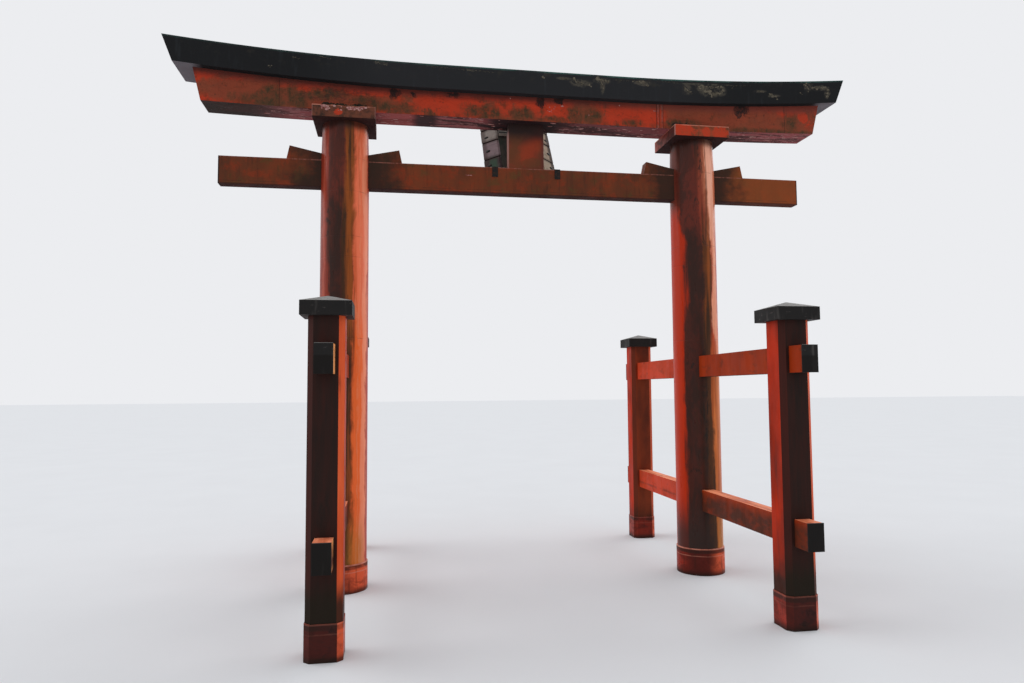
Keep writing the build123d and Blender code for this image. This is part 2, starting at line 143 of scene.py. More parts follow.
class Finish:
    """A node material in the making. Its coordinates are the gate's own, in metres."""

    def __init__(self, name, specular=0.1, coat=0.0, coat_roughness=0.12):
        self.material = bpy.data.materials.new(name)
        self.material.use_nodes = True
        self.tree = self.material.node_tree
        self.shader = self.tree.nodes["Principled BSDF"]
        self.shader.inputs["Specular IOR Level"].default_value = specular
        self.shader.inputs["Coat Weight"].default_value = coat
        self.shader.inputs["Coat Roughness"].default_value = coat_roughness
        self.place = self.node("ShaderNodeTexCoord").outputs["Object"]
        self.x, self.y, self.z = self.parts(self.place)
        self.nx, self.ny, self.nz = self.parts(self.node("ShaderNodeNewGeometry").outputs["Normal"])
        self.paint = None

    def node(self, kind, **settings):
        made = self.tree.nodes.new(kind)
        for key, value in settings.items():
            setattr(made, key, value)
        return made

    def feed(self, socket, value):
        if isinstance(value, bpy.types.NodeSocket):
            self.tree.links.new(value, socket)
        else:
            socket.default_value = value

    def parts(self, vector):
        split = self.node("ShaderNodeSeparateXYZ")
        self.feed(split.inputs[0], vector)
        return split.outputs

    def calc(self, operation, a, b=0.0):
        made = self.node("ShaderNodeMath", operation=operation)
        self.feed(made.inputs[0], a)
        self.feed(made.inputs[1], b)
        return made.outputs[0]

    def chain(self, operation, values):
        total = values[0]
        for value in values[1:]:
            total = self.calc(operation, total, value)
        return total

    def add(self, *terms):
        return self.chain("ADD", terms)

    def plus(self, value, other, share):
        return self.add(value, self.times(other, share))

    def minus(self, a, b):
        return self.calc("SUBTRACT", a, b)

    def times(self, *factors):
        return self.chain("MULTIPLY", factors)

    def most(self, *values):
        return self.chain("MAXIMUM", values)

    def absolute(self, value):
        return self.calc("ABSOLUTE", value)

    def swayed(self, value, noise, amount):
        """Value moved up and down by noise, over a span of amount."""
        return self.plus(value, self.add(noise, -0.5), amount)

    def step(self, value, low, high, bottom=0.0, top=1.0):
        """Smooth change from bottom to top while value goes from low to high."""
        made = self.node("ShaderNodeMapRange", interpolation_type="SMOOTHSTEP")
        ends = (high, low, top, bottom) if low > high else (low, high, bottom, top)
        for socket, given in zip(made.inputs, (value, *ends)):
            self.feed(socket, given)
        return made.outputs[0]

    def near(self, value, centre, half, soft):
        """One where value is within half of centre, falling to nothing over soft."""
        return self.step(self.absolute(self.minus(value, centre)), half + soft, half)

    def around(self, value, centre, half, soft):
        """The same where centre and half may be sockets too."""
        return self.step(self.minus(self.absolute(self.minus(value, centre)), half), soft, 0.0)

    def facing(self, side, low, high):
        """One on the faces that look towards side, a direction in plan."""
        return self.step(self.plus(self.times(self.nx, side[0]), self.ny, side[1]), low, high)

    def from_pillar(self):
        """How far x is from the axis of the pillar on its side."""
        return self.minus(self.x, self.times(self.calc("SIGN", self.x), PILLAR_X))

    def roof_gain(self):
        """How far the roof has risen towards its ends."""
        beyond = self.most(self.add(self.absolute(self.x), -ROOF_LEVEL), 0.0)
        return self.times(self.calc("POWER", beyond, 2.0), ROOF_CURVE)

    def noise(self, scale, stretch=1.0, shift=0.0, detail=4.0, rough=0.55, warp=0.0):
        """Noise. Stretch scales its three axes, or only Z where it is one number."""
        placed = self.node("ShaderNodeMapping")
        self.feed(placed.inputs["Vector"], self.place)
        placed.inputs["Scale"].default_value = stretch if isinstance(stretch, tuple) else (1, 1, stretch)
        placed.inputs["Location"].default_value = (shift, shift * 1.7, shift * 0.6)
        made = self.node("ShaderNodeTexNoise")
        self.feed(made.inputs["Vector"], placed.outputs[0])
        for key, value in (("Scale", scale), ("Detail", detail), ("Roughness", rough), ("Distortion", warp)):
            made.inputs[key].default_value = value
        return made.outputs[0]

    def spots(self, places, ragged, amount=5.0, flat=None, soft=0.2):
        """One inside ellipses, each (x, z, half width, half height), with ragged borders."""
        nearest = None
        for x, z, half_x, half_z in places:
            made = self.node("ShaderNodeMapping", vector_type="TEXTURE")
            self.feed(made.inputs["Vector"], flat or self.place)
            made.inputs["Location"].default_value = (x, 0, z)
            made.inputs["Scale"].default_value = (half_x, 1000, half_z)
            length = self.node("ShaderNodeVectorMath", operation="LENGTH")
            self.feed(length.inputs[0], made.outputs[0])
            distance = length.outputs["Value"]
            nearest = distance if nearest is None else self.calc("MINIMUM", nearest, distance)
        return self.step(self.swayed(nearest, ragged, amount), 1.0 + soft, 1.0 - soft)

    def mix(self, factor, a, b):
        """Colour from a to b. Each is a socket or three screen values from 0 to 255."""
        made = self.node("ShaderNodeMix", data_type="RGBA")
        for index, value in ((0, factor), (6, a), (7, b)):
            self.feed(made.inputs[index], linear(*value) if isinstance(value, tuple) else value)
        return made.outputs[2]

    def lay(self, colour, *factors):
        """Lays a colour over the paint, as strong as the product of the factors."""
        self.paint = self.mix(self.times(*factors), self.paint, colour)

    def done(self, roughness, relief=None, depth=0.002):
        self.feed(self.shader.inputs["Base Color"], self.paint)
        self.feed(self.shader.inputs["Roughness"], roughness)
        if relief is not None:
            bump = self.node("ShaderNodeBump")
            bump.inputs["Distance"].default_value = depth
            self.feed(bump.inputs["Height"], relief)
            self.feed(self.shader.inputs["Normal"], bump.outputs[0])
        return self.material


def pillar_paint():
    """Glossy vermilion, with a dark band of painted shade and dirt down the weather side, painted shade under
    the plates, and painted light and highlights down the lit side.
    """
    f = Finish("pillar_paint", specular=0.12, coat=0.04, coat_roughness=0.2)
    right = f.step(f.x, -1, 1)
    left = f.step(f.x, 1, -1)
    wander = f.noise(0.9, 0.5, 3.1, detail=3)
    streak = f.noise(9, 0.05, 5.5, detail=7, rough=0.62)
    blotch = f.noise(3.4, 0.4, 8.8, detail=9, rough=0.68, warp=0.5)
    ragged = f.swayed(f.times(f.add(wander, -0.5), 0.35), streak, 0.65)
    ragged = f.swayed(ragged, blotch, 0.6)
    angle = f.add(f.calc("ARCTAN2", f.from_pillar(), f.times(f.y, -1)), ragged)
    height = f.swayed(f.z, blotch, 1.2)
    low = f.times(right, f.step(height, 4.7, 3.4))
    top = f.times(right, f.step(height, 5.7, 6.3))
    fresh = f.mix(f.noise(2.4, 0.3, 1, detail=5), (199, 52, 13), (164, 41, 11))
    dusty = f.mix(streak, (160, 56, 34), (100, 38, 26))
    shady = f.times(f.step(angle, -0.3, -0.7), f.step(angle, -2.5, -1.7))
    f.paint = f.mix(f.times(left, shady, 0.9), fresh, dusty)
    # A thin pale line down the left pillar's left side: painted highlight
    pale_highlight_line = f.times(f.near(angle, -0.92, 0.02, 0.08), left)
    f.lay((236, 124, 96), pale_highlight_line, 0.2)
    grimy = f.times(f.step(f.plus(f.z, wander, 0.8), 6.5, 6.95), shady, right)
    f.lay((96, 52, 42), grimy, 0.88)
    brown = f.mix(f.step(streak, 0.4, 0.6), (150, 76, 28), (72, 42, 22))
    brown = f.mix(low, brown, (86, 50, 26))
    f.lay(brown, f.around(angle, f.add(0.25, f.times(right, -0.06), f.times(low, -0.06)), 0.17, 0.2))
    # Brighter orange, and yellow low on the right pillar, towards the lit side: painted light
    orange = f.mix(f.step(streak, 0.38, 0.62), (248, 124, 86), (216, 96, 56))
    orange = f.mix(f.step(height, 5, 3.8, 0, 0.8), orange, (252, 112, 46))
    yellow = f.mix(f.step(streak, 0.38, 0.62), (222, 122, 58), (176, 84, 36))
    f.lay(f.mix(low, orange, yellow), f.around(angle, f.plus(0.8, low, -0.16), 0.22, 0.2), f.most(left, low))
    # Painted highlights down the lit side: a band that pales near the top of the right pillar, a pale band
    # down both pillars, and a thin glint
    upper_light_band = f.times(f.step(angle, -0.3, -0.1), f.step(angle, 1.7, 0.8), top)
    f.lay(f.mix(f.step(angle, 0.05, 0.42), (140, 60, 42), (220, 130, 92)), upper_light_band, 0.88)
    place = f.add(1.1, f.times(right, -0.43), f.times(top, -0.12), f.times(low, 0.28))
    strong = f.times(f.step(streak, 0.34, 0.56, 0.6, 1), f.step(low, 0, 1, 1, 0.35))
    highlight_colour = f.mix(right, (252, 150, 114), f.mix(top, (246, 160, 124), (255, 182, 152)))
    f.lay(highlight_colour, f.around(angle, place, f.plus(0.1, top, 0.05), 0.16), strong)
    glint = f.times(f.near(angle, 0.74, 0.01, 0.06), left, f.step(blotch, 0.42, 0.56))
    f.lay((246, 150, 110), glint, 0.4)
    edge = f.times(f.step(angle, 1.18, 1.34), f.step(angle, 2.2, 1.6))
    f.lay((176, 56, 34), edge, 0.7)
    # The dark band towards the weather side: painted shade, with dirt in it
    dark = f.mix(f.step(blotch, 0.42, 0.6), (38, 31, 26), (66, 34, 26))
    maroon = f.most(f.times(f.step(height, 6, 6.8), left), top)
    dark = f.mix(f.times(maroon, f.step(blotch, 0.45, 0.56, 0.4, 0.95)), dark, (96, 42, 32))
    place = f.add(-0.3, f.times(right, -0.08), f.times(low, -0.04), f.times(top, -0.24))
    width = f.add(0.24, f.times(right, 0.04), f.times(low, 0.09), f.times(top, 0.1))
    f.lay(dark, f.around(angle, place, width, 0.24), 0.96)
    behind = f.most(f.step(angle, 1.3, 2.2), f.step(angle, -1.8, -2.4))
    weather = f.step(f.noise(5, 0.09, 7.7, detail=9, rough=0.66), 0.48, 0.66)
    f.lay((112, 40, 26), behind, weather, 0.5)
    rain = f.step(f.plus(f.z, streak, 1.6), 7.2, 8.6)
    f.lay((74, 40, 32), behind, rain, 0.55)
    splash = f.step(f.plus(f.z, blotch, 0.8), 1.5, 0.8)
    f.lay((64, 38, 28), behind, splash, 0.6)
    runs = f.step(f.noise(15, 0.03, 3.3, detail=5), 0.52, 0.64)
    f.lay((52, 34, 20), runs, f.near(angle, 0.1, 0.4, 0.3), 0.6)
    marks = f.times(f.step(blotch, 0.58, 0.64), f.near(angle, -0.25, 0.4, 0.25))
    f.lay((34, 28, 24), marks, 0.8)
    # Dark top of the pillars, and under the plates: painted shade
    plate_shade = f.step(f.noise(2.6, 0.5, 9, detail=6), 0.3, 0.56, 0.5, 1)
    top_shade = f.step(f.plus(f.z, f.absolute(f.add(angle, 0.1)), -0.35), 7.1, 7.6, 0, 0.5)
    under_plate = f.step(f.plus(f.z, blotch, 0.12), 7.5, 7.66, 0, 0.95)
    plate_shade = f.most(f.times(top_shade, plate_shade, f.near(angle, -0.1, 0.8, 0.7)), under_plate)
    f.lay((44, 29, 26), plate_shade, 0.92)
    foot = f.step(f.plus(f.z, blotch, 0.6), 1.7, 0.95)
    f.lay((52, 38, 34), foot, f.near(angle, -0.85, 0.8, 0.4), 0.88)
    ochre = f.times(f.step(f.plus(f.z, blotch, 0.4), 1.5, 0.9), f.near(angle, 0.75, 0.25, 0.3))
    f.lay((168, 112, 40), ochre, 0.5)
    seam = f.most(*[f.near(f.z, level, 0.003, 0.006) for level in PILLAR_SEAMS])
    f.lay((96, 50, 38), seam, f.step(blotch, 0.46, 0.6), 0.35)
    relief = f.add(f.times(streak, 0.5), f.times(f.noise(38, 0.25, 0.3), 0.2), f.times(seam, -1))
    rough = f.step(f.noise(7, 0.2, 6), 0.3, 0.8, 0.26, 0.48)
    return f.done(rough, relief)


def square_paint(name, fresh, worn, dark, top, under, front, shift=0.0, highlight_tint=(232, 100, 56), specular=0.06):
    """Vermilion on square timber: front is how strongly painted shade and dirt darken the weather side."""
    f = Finish(name, specular=specular)
    streak = f.noise(7, 0.12, 2 + shift, detail=5)
    cloud = f.noise(1.6, 0.6, 5 + shift, detail=5)
    grain = f.noise(26, 0.1, 4 + shift)
    f.paint = f.mix(f.step(cloud, 0.35, 0.65), fresh, worn)
    f.lay(dark, f.step(streak, 0.5, 0.7), 0.4)
    # Faces towards the weather side: painted shade, with dirt in it
    facing = f.facing(SHADE_AND_DIRT_SIDE, 0.6, 0.94)
    amount = f.step(f.plus(f.times(streak, 0.6), cloud, 0.5), 0.35, 0.8, front, front * 0.93)
    f.lay(f.mix(grain, dark, f.mix(0.08, dark, worn)), facing, amount)
    # Faces towards the lit side: painted highlight
    f.lay(f.mix(streak, highlight_tint, fresh), f.facing(HIGHLIGHT_SIDE, 0.85, 0.97), 0.9)
    # Tops paler: partly painted light from above, partly fading
    f.lay(f.mix(f.step(streak, 0.4, 0.7), top, fresh), f.step(f.nz, 0.5, 0.9))
    # Undersides darker: painted shade
    f.lay(f.mix(cloud, under, (40, 25, 23)), f.step(f.nz, -0.5, -0.9))
    f.lay(dark, f.step(f.noise(4, 0.25, 8 + shift, detail=6), 0.6, 0.72), 0.5)
    relief = f.plus(f.times(streak, 0.5), grain, 0.4)
    rough = f.add(f.step(f.noise(6, 0.3, 3), 0.3, 0.8, 0.42, 0.66), f.step(f.nz, -0.5, -0.9, 0, 0.35))
    return f, rough, relief


def post_paint():
    """Square posts: painted shade and dirt make the weather side of the front pair nearly black; algae above
    the sleeves.
    """
    f, rough, relief = square_paint(
        "post_paint", (186, 46, 13), (150, 38, 12), (25, 31, 29), (196, 104, 72), (70, 34, 28), 1,
        highlight_tint=(255, 124, 74))
    back = f.step(f.y, -1, 1)
    facing = f.step(f.times(f.ny, -1), 0.5, 0.9)
    band = f.noise(3, 0.35, 6.6, detail=5)
    f.lay((132, 58, 34), back, facing, f.step(band, 0.3, 0.6, 0.35, 0.95))
    foot = f.step(f.add(f.z, f.times(f.noise(6, 0.6, 8), 0.35), f.times(back, 0.22)), 1.2, 0.78)
    f.lay((38, 32, 25), foot, f.step(back, 0, 1, 0.93, 0.6))
    return f.done(rough, relief)


def tie_paint():
    """Side ties: red sides, browner in front with painted shade and dirt, and pale tops that are partly
    painted light and partly fading.
    """
    f, rough, relief = square_paint(
        "tie_paint", (164, 54, 15), (145, 47, 15), (112, 45, 20), (250, 146, 100), (76, 38, 30), 0.5, 3)
    behind = f.times(f.step(f.y, 0, 0.5), f.step(f.absolute(f.nx), 0.5, 0.9))
    # Pale orange on the +X faces of the left ties' front ends: painted light on the lit side
    cheek = f.times(f.step(f.x, 0, -0.1), f.step(f.nx, 0.5, 0.9), f.step(f.y, -2.7, -2.9))
    f.lay((255, 176, 108), cheek, 0.75)
    bright = f.noise(3, (1, 0.5, 1), 1.5)
    f.lay((204, 66, 38), behind, f.step(bright, 0.35, 0.6, 0.4, 0.85))
    marks = f.noise(5, (1, 0.6, 1.2), 3, detail=9, rough=0.68)
    # Pale tops: partly painted light from above, partly fading
    lit_faded_top = f.step(f.noise(9, (1, 0.12, 1), 7, detail=6), 0.4, 0.66)
    f.lay(f.mix(lit_faded_top, (252, 152, 112), (206, 106, 72)), f.step(f.nz, 0.5, 0.9))
    f.lay((88, 44, 28), f.step(marks, 0.55, 0.66), 0.5)
    lower = f.most(*[f.near(f.z, foot, 0, 0.035) for foot in TIE_FEET])
    f.lay((76, 38, 28), lower, f.step(marks, 0.4, 0.55), 0.55)
    low = f.times(f.step(f.z, 1.5, 1.3), f.step(f.absolute(f.nx), 0.5, 0.9), f.step(f.y, 0.4, -0.2))
    f.lay((78, 40, 27), low, f.step(marks, 0.4, 0.56, 0.65, 0.98))
    return f.done(rough, relief)


def beam_paint():
    """Tie beam and wedges: dull brown vermilion, mottled, near black beside the pillars."""
    f, rough, relief = square_paint(
        "beam_paint", (136, 62, 32), (106, 54, 32), (72, 46, 32), (190, 96, 66), (64, 34, 32), 0.35, 6,
        highlight_tint=(150, 70, 40), specular=0.1)
    mottle = f.noise(3.6, (0.9, 1, 1), 4.2, detail=10, rough=0.72, warp=0.2)
    drip = f.noise(6, 0.16, 12, detail=9, rough=0.68, warp=0.3)
    f.lay((150, 52, 24), f.step(mottle, 0.5, 0.62), 0.42)
    f.lay((84, 64, 34), f.step(mottle, 0.46, 0.38), 0.55)
    f.lay((66, 42, 28), f.step(drip, 0.52, 0.68), f.step(mottle, 0.42, 0.58), 0.4)
    thin = f.noise(22, 0.12, 2.2, detail=5, rough=0.6)
    f.lay((60, 38, 28), f.step(thin, 0.54, 0.66), 0.35)
    sunnier = f.step(f.swayed(f.x, mottle, 2), 2.2, 4.2)
    f.lay((156, 80, 38), sunnier, 0.55)
    gap = f.absolute(f.from_pillar())
    cloud = f.noise(2.2, 1.2, 10, detail=8, rough=0.62)
    # Darker towards the pillars
    darkening = f.times(f.step(f.swayed(gap, cloud, 1.5), 1.1, 0.5), 0.9)
    f.lay((46, 34, 27), darkening)
    # A thin pale line along the top edge: painted highlight
    f.lay((150, 92, 80), f.near(f.z, BEAM_TOP - 0.004, 0.004, 0.008), f.step(thin, 0.58, 0.42, 0.2, 0.75))
    f.lay((52, 28, 26), f.step(f.z, BEAM_FOOT + 0.03, BEAM_FOOT + 0.008), 0.75)
    f.lay((58, 34, 30), f.near(f.z, BEAM_FOOT + 0.055, 0.002, 0.006), f.step(drip, 0.44, 0.52), 0.5)
    f.lay((40, 27, 25), f.step(f.absolute(f.x), BEAM_HALF - 0.03, BEAM_HALF - 0.018), 0.8)
    return f.done(rough, relief)


def strut_paint():
    """Centre strut: painted shade with dirt under the lintel, mossy brown at its left, a clean red sweep at
    its right, and a pale left side face that is painted light.
    """
    f, rough, relief = square_paint(
        "strut_paint", (126, 62, 38), (104, 54, 36), (72, 44, 34), (190, 96, 66), (64, 34, 32), 0.35, 9,
        highlight_tint=(150, 70, 40), specular=0.1)
    cloud = f.noise(3, 1, 4, detail=7, rough=0.62)
    slant = f.plus(f.x, f.add(f.z, -7.36), -0.72)
    wide = f.swayed(slant, cloud, 0.45)
    sweep = f.times(f.near(wide, 0.07, 0, 0.3), f.step(f.plus(f.z, cloud, -0.3), 6.84, 7.14))
    f.lay((172, 58, 30), sweep, 0.5)
    f.lay((96, 60, 36), f.spots(STRUT_MOSS, cloud), 0.5)
    edge = f.step(f.x, 0.24, 0.29)
    f.lay((84, 44, 44), edge, 0.5)
    # Dark top under the lintel: painted shade, with dirt in it
    darkening = f.step(f.swayed(f.z, cloud, 0.2), 7.44, 7.7)
    f.lay((34, 28, 28), darkening, 0.92)
    # Pale left side face below the lintel: painted light
    side = f.step(f.nx, -0.5, -0.9)
    f.lay((172, 120, 110), side, f.step(f.z, 7.78, 7.6), 0.8)
    return f.done(rough, relief)


def lintel_paint():
    """Patchy vermilion with moss-brown stains, dark spots, and a band of painted shadow with dirt under the
    roof; the underside peels.
    """
    f = Finish("lintel_paint")
    cloud = f.noise(1.3, (0.8, 1, 1.6), 2, detail=8, rough=0.66, warp=0.3)
    drip = f.noise(7, 0.22, 6, detail=9, rough=0.7)
    patch = f.noise(3.6, 1.1, 9, detail=10, rough=0.72, warp=0.3)
    fine = f.noise(30, 0.6, 3, detail=5, rough=0.6)
    ragged = f.add(f.times(patch, 0.45), f.times(drip, 0.4), f.times(fine, 0.15))
    fresh = f.mix(f.noise(4, 1, 1), (202, 62, 34), (166, 54, 32))
    brown = f.mix(drip, (150, 72, 48), (106, 56, 40))
    moss = f.mix(fine, (84, 62, 40), (52, 42, 30))
    f.paint = f.mix(f.step(f.plus(cloud, fine, 0.12), 0.53, 0.66), fresh, brown)
    f.lay(brown, f.spots(LINTEL_DULL, ragged, 3), 0.88)
    f.lay(fresh, f.spots(LINTEL_CLEAN, ragged), 0.85)
    growth = f.add(patch, f.times(drip, 0.4), f.times(fine, 0.15))
    f.lay(moss, f.step(growth, 0.82, 0.94, 0, 0.6))
    speck = f.noise(13, 0.8, 11, detail=8, rough=0.7)
    f.lay((66, 42, 32), f.step(speck, 0.6, 0.67, 0, 0.55))
    mossy = f.spots(LINTEL_MOSS, ragged, 6, soft=0.6)
    broken = f.step(f.plus(f.times(speck, 0.6), drip, 0.4), 0.42, 0.56, 0.98, 0.3)
    f.lay(f.mix(drip, (124, 70, 44), (88, 54, 38)), mossy, f.step(patch, 0.42, 0.58, 0.85, 0.25))
    f.lay(moss, mossy, broken)
    scribble = f.near(f.noise(5, (0.7, 1, 1.5), 3.7, detail=6, rough=0.6, warp=1), 0.5, 0.006, 0.02)
    band = f.times(scribble, f.near(f.x, -3.2, 0.55, 0.2), f.near(f.z, 8.1, 0.08, 0.06))
    f.lay((72, 40, 38), band, 0.6)
    low = f.step(f.z, LINTEL_FOOT + 0.12, LINTEL_FOOT + 0.01)
    f.lay(moss, low, f.step(drip, 0.42, 0.62), 0.6)
    # A dark band under the roof: painted shadow, with dirt in it
    below_roof = f.minus(f.swayed(f.z, drip, 0.1), f.roof_gain())
    band = f.step(f.x, 4.78, 4.8, ROOF_FOOT - 0.06, ROOF_FOOT - 0.1)
    roof_shade_and_dirt = f.mix(f.step(f.x, 1, 2.6), (88, 44, 38), (120, 58, 48))
    f.lay(roof_shade_and_dirt, f.step(f.minus(below_roof, band), -0.11, 0.04, 0, 0.94))
    f.lay(
        (34, 27, 26), f.spots(LINTEL_SOOT, f.plus(f.times(speck, 0.55), drip, 0.45), 7),
        f.step(speck, 0.4, 0.5, 0.6, 0.95))
    seams = f.most(*[f.near(f.x, place, half, 0.004) for place, half in LINTEL_SEAMS])
    f.lay((58, 36, 32), seams, 0.7)
    pink = f.times(
        f.most(f.near(f.x, 2.365, 0.008, 0.01), f.near(f.x, 2.44, 0.006, 0.008)), f.step(fine, 0.4, 0.6))
    f.lay((150, 100, 92), pink, 0.55)
    peel = f.noise(2.4, (0.45, 2, 1), 3, detail=7, warp=0.9)
    skin = f.mix(f.step(peel, 0.4, 0.58), (146, 78, 80), (72, 40, 40))
    lips = f.most(f.near(peel, 0.47, 0.003, 0.01), f.near(peel, 0.55, 0.002, 0.008))
    skin = f.mix(f.times(lips, 0.6), skin, (188, 134, 132))
    skin = f.mix(f.times(f.step(f.plus(f.x, peel, 1), -3.3, -4.2), 0.92), skin, (44, 38, 34))
    shade = f.most(f.near(f.plus(f.x, peel, 0.6), 0.25, 0.5, 0.35), f.near(f.x, -1.75, 0.1, 0.2))
    skin = f.mix(f.times(f.near(f.x, 1.4, 0.9, 0.3), 0.45), skin, (52, 30, 30))
    skin = f.mix(f.times(f.near(f.x, -2.1, 0.3, 0.3), 0.5), skin, (160, 76, 72))
    skin = f.mix(f.times(shade, 0.9), skin, (38, 29, 31))
    f.lay(skin, f.step(f.nz, -0.4, -0.9))
    f.lay((96, 50, 38), f.step(f.nz, 0.4, 0.9))
    under = f.step(f.nz, -0.4, -0.9)
    relief = f.add(f.times(patch, 0.8), f.times(fine, 0.3), f.times(lips, 0.6), f.times(seams, -1))
    rough = f.plus(f.step(patch, 0.4, 0.75, 0.46, 0.68), under, 0.3)
    return f.done(rough, relief, 0.004)


def plate_paint():
    """Vermilion plates: clean red patches on dull brown; painted shade makes them black beneath and darker on
    their side faces; painted light on their tops; a painted highlight, partly pale cracked paint, along the
    top edge.
    """
    f = Finish("plate_paint")
    patch = f.noise(4, 1.6, 2, detail=8, rough=0.66)
    fine = f.noise(22, 0.7, 5, detail=5)
    ragged = f.plus(f.times(patch, 0.7), fine, 0.3)
    left = f.step(f.x, 1, -1)
    olive = f.mix(f.step(ragged, 0.42, 0.6), (108, 62, 46), (60, 42, 34))
    rust = f.mix(f.step(ragged, 0.38, 0.58), (160, 70, 44), (104, 60, 40))
    f.paint = f.mix(left, rust, olive)
    f.lay((188, 60, 34), f.spots(PLATE_CLEAN, ragged, amount=4), f.step(fine, 0.36, 0.5, 0.5, 0.9))
    # Side faces: painted shade, mottled, darker again towards the front
    side = f.step(f.absolute(f.nx), 0.5, 0.9)
    f.lay(f.mix(f.step(ragged, 0.4, 0.6), (138, 74, 64), (74, 42, 40)), side, 0.8)
    f.lay((50, 36, 34), side, f.step(f.y, 0.35, -0.45, 0, 0.75))
    # Pale lines along the side faces' front and back edges: painted highlight
    arris = f.times(f.step(f.absolute(f.y), PLATE_HALF - 0.05, PLATE_HALF - 0.02), side)
    f.lay((206, 150, 140), arris, 0.7)
    # Black beneath: painted shade; paler tops: painted light
    f.lay((50, 27, 25), f.step(f.nz, -0.4, -0.9))
    f.lay((190, 100, 70), f.step(f.nz, 0.4, 0.9))
    # A pale line along the top edge: painted highlight, partly pale cracked paint
    rim = f.step(f.plus(f.z, fine, 0.012), LINTEL_FOOT - 0.014, LINTEL_FOOT - 0.004)
    f.lay((226, 146, 122), rim, f.step(ragged, 0.4, 0.56, 0.1, 0.6))
    rough = f.add(f.step(patch, 0.3, 0.7, 0.42, 0.66), f.step(f.nz, -0.4, -0.9, 0, 0.34))
    return f.done(rough, f.plus(patch, fine, 0.4), 0.004)


def sleeve_paint():
    """Newer red on the foot sleeves, with painted shade and dirt on the weather side, a painted highlight on
    the lit side, wet marks and pale deposit lines near the top.
    """
    f = Finish("sleeve_paint", specular=0.08)
    post = f.step(f.absolute(f.y), 1.5, 2)
    blot = f.noise(4.5, 1.5, 3, detail=7, rough=0.64, warp=0.4)
    f.paint = f.mix(f.step(blot, 0.4, 0.6), (184, 52, 30), (128, 38, 24))
    f.lay((84, 38, 32), post, 0.4)
    # Faces towards the weather side: painted shade, with dirt in it
    facing = f.facing(SHADE_AND_DIRT_SIDE, 0.55, 0.98)
    dim = f.mix(post, (54, 27, 24), (34, 28, 27))
    f.lay(dim, facing, f.step(blot, 0.3, 0.6, 0.95, 0.72), f.step(f.y, 1, 2, 1, 0.45))
    f.lay((70, 32, 28), f.step(f.nx, -0.2, -0.8), f.step(post, 1, 0), 0.45)
    # Faces towards the lit side: painted highlight
    sleeve_highlight = f.facing(HIGHLIGHT_SIDE, 0.55, 0.98)
    sleeve_highlight = f.times(sleeve_highlight, f.step(f.times(post, facing), 0.5, 0.2), f.step(blot, 0.62, 0.42, 0.4, 0.8))
    f.lay((236, 104, 66), sleeve_highlight)
    wet = f.step(f.plus(f.z, blot, 0.16), 0.19, 0.09)
    f.lay((38, 29, 24), wet, 0.85)
    drip = f.step(f.noise(11, 0.12, 6, detail=5), 0.56, 0.7)
    f.lay((56, 32, 26), drip, 0.5)
    top = f.near(f.z, 0.405, 0.02, 0.025)
    f.lay((48, 32, 27), top, f.step(blot, 0.36, 0.5, 0.35, 0.75))
    wavy = f.swayed(f.z, blot, 0.03)
    line = f.most(
        f.near(wavy, SLEEVE_TOP - 0.005, 0.009, 0.01), f.times(f.near(wavy, 0.325, 0.004, 0.008), 0.55))
    f.lay(
        (214, 140, 118), line, f.step(blot, 0.62, 0.42, 0.4, 0.95), f.step(post, 0, 1, 1, 0.25),
        f.step(facing, 0, 1, 1, 0.6))
    rough = f.step(blot, 0.3, 0.7, 0.26, 0.55)
    return f.done(rough, f.plus(blot, line, 0.3), 0.004)


def roof_black():
    """Dark sheet over the upper lintel: thin grey runs, verdigris on the top edge, and pale soffits at the
    ends that are painted light.
    """
    f = Finish("roof_black", specular=0.08)
    height = f.minus(f.minus(f.z, f.roof_gain()), ROOF_FOOT)
    tone = f.noise(2.2, (0.6, 1, 1), 3, detail=6)
    f.paint = f.mix(tone, (25, 26, 28), (35, 35, 36))
    f.lay(f.mix(tone, (33, 34, 36), (46, 46, 48)), f.near(f.x, 0, 2.4, 1.6))
    streak = f.noise(12, 0.12, 5, detail=6)
    f.lay((58, 62, 66), f.step(streak, 0.56, 0.76), 0.25)
    stain = f.noise(5, (0.9, 1, 1.2), 8, detail=8, rough=0.7)
    upper = f.step(height, 0.12, 0.34)
    f.lay((62, 58, 50), f.step(stain, 0.52, 0.66), upper, f.step(f.x, -4, 3, 0.35, 0.5))
    f.lay(f.mix(tone, (60, 68, 65), (46, 50, 49)), f.step(f.nz, 0.3, 0.7))
    # Pale soffits beyond the lower lintel: painted light
    outside = f.step(f.absolute(f.x), 5.3, 5.5)
    f.lay(f.mix(tone, (112, 106, 112), (88, 84, 88)), f.step(f.nz, -0.4, -0.9), outside)
    flat = f.node("ShaderNodeCombineXYZ")
    f.feed(flat.inputs[0], f.x)
    f.feed(flat.inputs[2], height)
    broken = f.noise(9, 1, 4.4, detail=10, rough=0.74, warp=0.4)
    f.lay(
        f.mix(stain, (92, 86, 76), (60, 57, 51)),
        f.spots(ROOF_STAINS, f.plus(f.times(stain, 0.5), broken, 0.5), 4, flat.outputs[0]),
        f.step(broken, 0.45, 0.53, 0.1, 0.9))
    edge = f.step(f.swayed(height, streak, 0.03), ROOF_FACE - 0.035, ROOF_FACE - 0.012)
    upright = f.times(f.step(f.nz, 0.6, 0.3), f.step(height, ROOF_FACE + 0.02, ROOF_FACE + 0.004))
    greener = f.times(f.step(f.x, -3.4, 0.4, 0.2, 0.8), f.step(f.absolute(f.nx), 0.6, 0.3))
    f.lay((66, 104, 96), edge, f.step(tone, 0.35, 0.6), upright, greener)
    relief = f.add(f.times(stain, 0.4), f.times(streak, 0.2), f.times(tone, 0.4))
    rough = f.step(tone, 0.3, 0.7, 0.55, 0.78)
    return f.done(rough, relief, 0.004)


